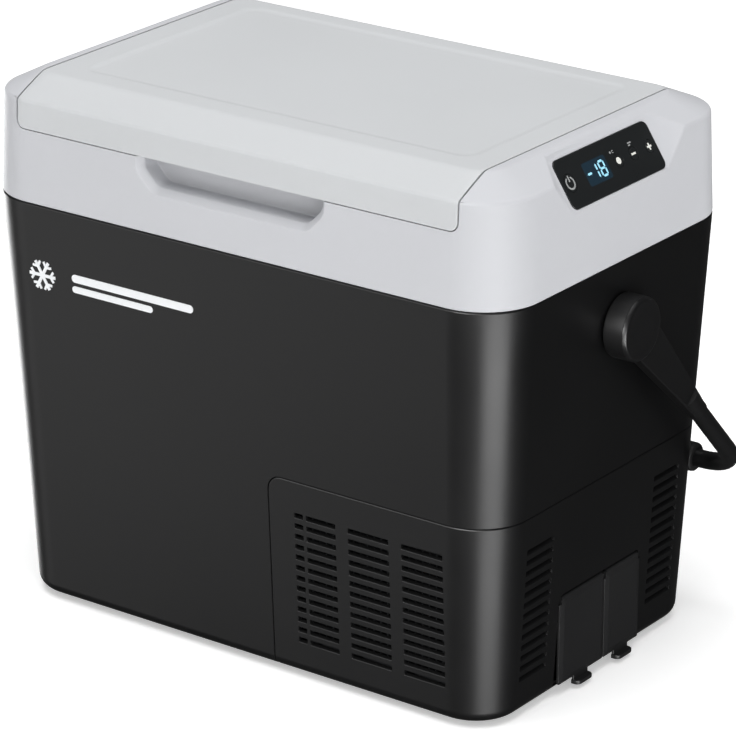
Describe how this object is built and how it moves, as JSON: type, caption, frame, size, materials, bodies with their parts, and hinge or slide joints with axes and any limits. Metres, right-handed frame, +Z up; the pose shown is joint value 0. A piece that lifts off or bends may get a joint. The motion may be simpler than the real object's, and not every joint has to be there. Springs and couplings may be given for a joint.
{
  "type": "compressor cooler fridge",
  "caption": "Portable compressor cooler fridge with a hinged lid, swinging carry handle, sloping control panel, vented compressor bay and socket covers.",
  "frame": {"origin": "middle of the casing's footprint on the surface that the rubber feet stand on", "axes": "+X towards the end with the control panel and the sockets, +Y towards the hinge side at the back, +Z up"},
  "size_m": [0.4982, 0.3138, 0.408],
  "materials": {
    "casing_black": "fine grained",
    "collar_grey": "fine grained",
    "lid_grey": "fine grained",
    "liner_pale": "smooth",
    "foam": "cellular",
    "steel": "plated",
    "aluminium": "plain",
    "rubber_black": "matte",
    "fascia_black": "glossy",
    "key_black": "satin",
    "handle_black": "satin",
    "badge_white": "printed",
    "gasket_grey": "matte",
    "copper": "drawn tube",
    "board_green": "solder mask",
    "compressor_black": "semi gloss paint",
    "wire_red": "insulation",
    "lamp_white": "diffusing",
    "display_dark": "glossy"
  },
  "bodies": {
    "cabinet": {"outer_shell": "casing_black", "compressor_cover": "casing_black", "base_pan": "casing_black", "rubber_feet": "rubber_black", "bulkhead": "aluminium", "foam_body": "foam", "inner_liner": "liner_pale", "evaporator_wrap": "aluminium", "top_collar": "collar_grey", "front_badge": "badge_white", "interior_light": "lamp_white", "hinge_collar_leaves": "casing_black", "hinge_pins": "steel", "hinge_screws_collar": "steel", "catch_plates": "steel", "display_housing": "casing_black", "display_fascia": "fascia_black", "lcd_module": "display_dark", "control_board": "board_green", "pivot_plates": "steel", "pivot_bolts": "steel", "socket_housing": "casing_black", "dc_socket": "key_black", "ac_socket": "key_black", "fuse_holder": "key_black", "cover_pins": "steel", "compressor": "compressor_black", "compressor_grommets": "rubber_black", "compressor_bolts": "steel", "driver_module": "aluminium", "condenser": "aluminium", "fan_shroud": "casing_black", "filter_drier": "copper", "refrigerant_pipes": "copper", "wiring_harness": "wire_red", "cover_screws": "steel"},
    "lid": {"lid_outer": "lid_grey", "lid_inner": "liner_pale", "lid_foam": "foam", "lid_gasket": "gasket_grey", "hinge_lid_leaves": "casing_black", "hinge_screws_lid": "steel", "catch_magnets": "steel"},
    "handle": {"handle_arm_left": "handle_black", "handle_arm_right": "handle_black", "handle_tube": "handle_black", "handle_grip": "rubber_black", "hub_caps": "handle_black"},
    "power_key": {"power_key": "key_black"},
    "set_key": {"set_key": "key_black"},
    "minus_key": {"minus_key": "key_black"},
    "plus_key": {"plus_key": "key_black"},
    "dc_cover": {"dc_cover": "casing_black"},
    "ac_cover": {"ac_cover": "casing_black"},
    "fan": {"fan_rotor": "casing_black"}
  },
  "joints": [
    {"name": "lid_hinge", "type": "hinge", "parent": "cabinet", "child": "lid", "pos_m": [0, 0.153, 0.372], "axis": [-1, 0, 0], "range_deg": [0, 100]},
    {"name": "handle_swing", "type": "hinge", "parent": "cabinet", "child": "handle", "pos_m": [0, 0, 0.271], "axis": [1, 0, 0], "range_deg": [0, 272]},
    {"name": "dc_cover_hinge", "type": "hinge", "parent": "cabinet", "child": "dc_cover", "pos_m": [0.2154, 0, 0.0752], "axis": [0, -1, 0], "range_deg": [0, 100]},
    {"name": "ac_cover_hinge", "type": "hinge", "parent": "cabinet", "child": "ac_cover", "pos_m": [0.2154, 0, 0.0752], "axis": [0, -1, 0], "range_deg": [0, 100]},
    {"name": "fan_spin", "type": "hinge", "parent": "cabinet", "child": "fan", "pos_m": [0.115, -0.0855, 0.075], "axis": [0, 1, 0], "continuous": true},
    {"name": "power_key_press", "type": "slide", "parent": "cabinet", "child": "power_key", "axis": [-0.8339, 0, -0.5519], "range_m": [0, 0.0006], "stiffness_N_per_m": 400, "springref_m": -0.0005},
    {"name": "set_key_press", "type": "slide", "parent": "cabinet", "child": "set_key", "axis": [-0.8339, 0, -0.5519], "range_m": [0, 0.0006], "stiffness_N_per_m": 400, "springref_m": -0.0005},
    {"name": "minus_key_press", "type": "slide", "parent": "cabinet", "child": "minus_key", "axis": [-0.8339, 0, -0.5519], "range_m": [0, 0.0006], "stiffness_N_per_m": 400, "springref_m": -0.0005},
    {"name": "plus_key_press", "type": "slide", "parent": "cabinet", "child": "plus_key", "axis": [-0.8339, 0, -0.5519], "range_m": [0, 0.0006], "stiffness_N_per_m": 400, "springref_m": -0.0005}
  ]
}
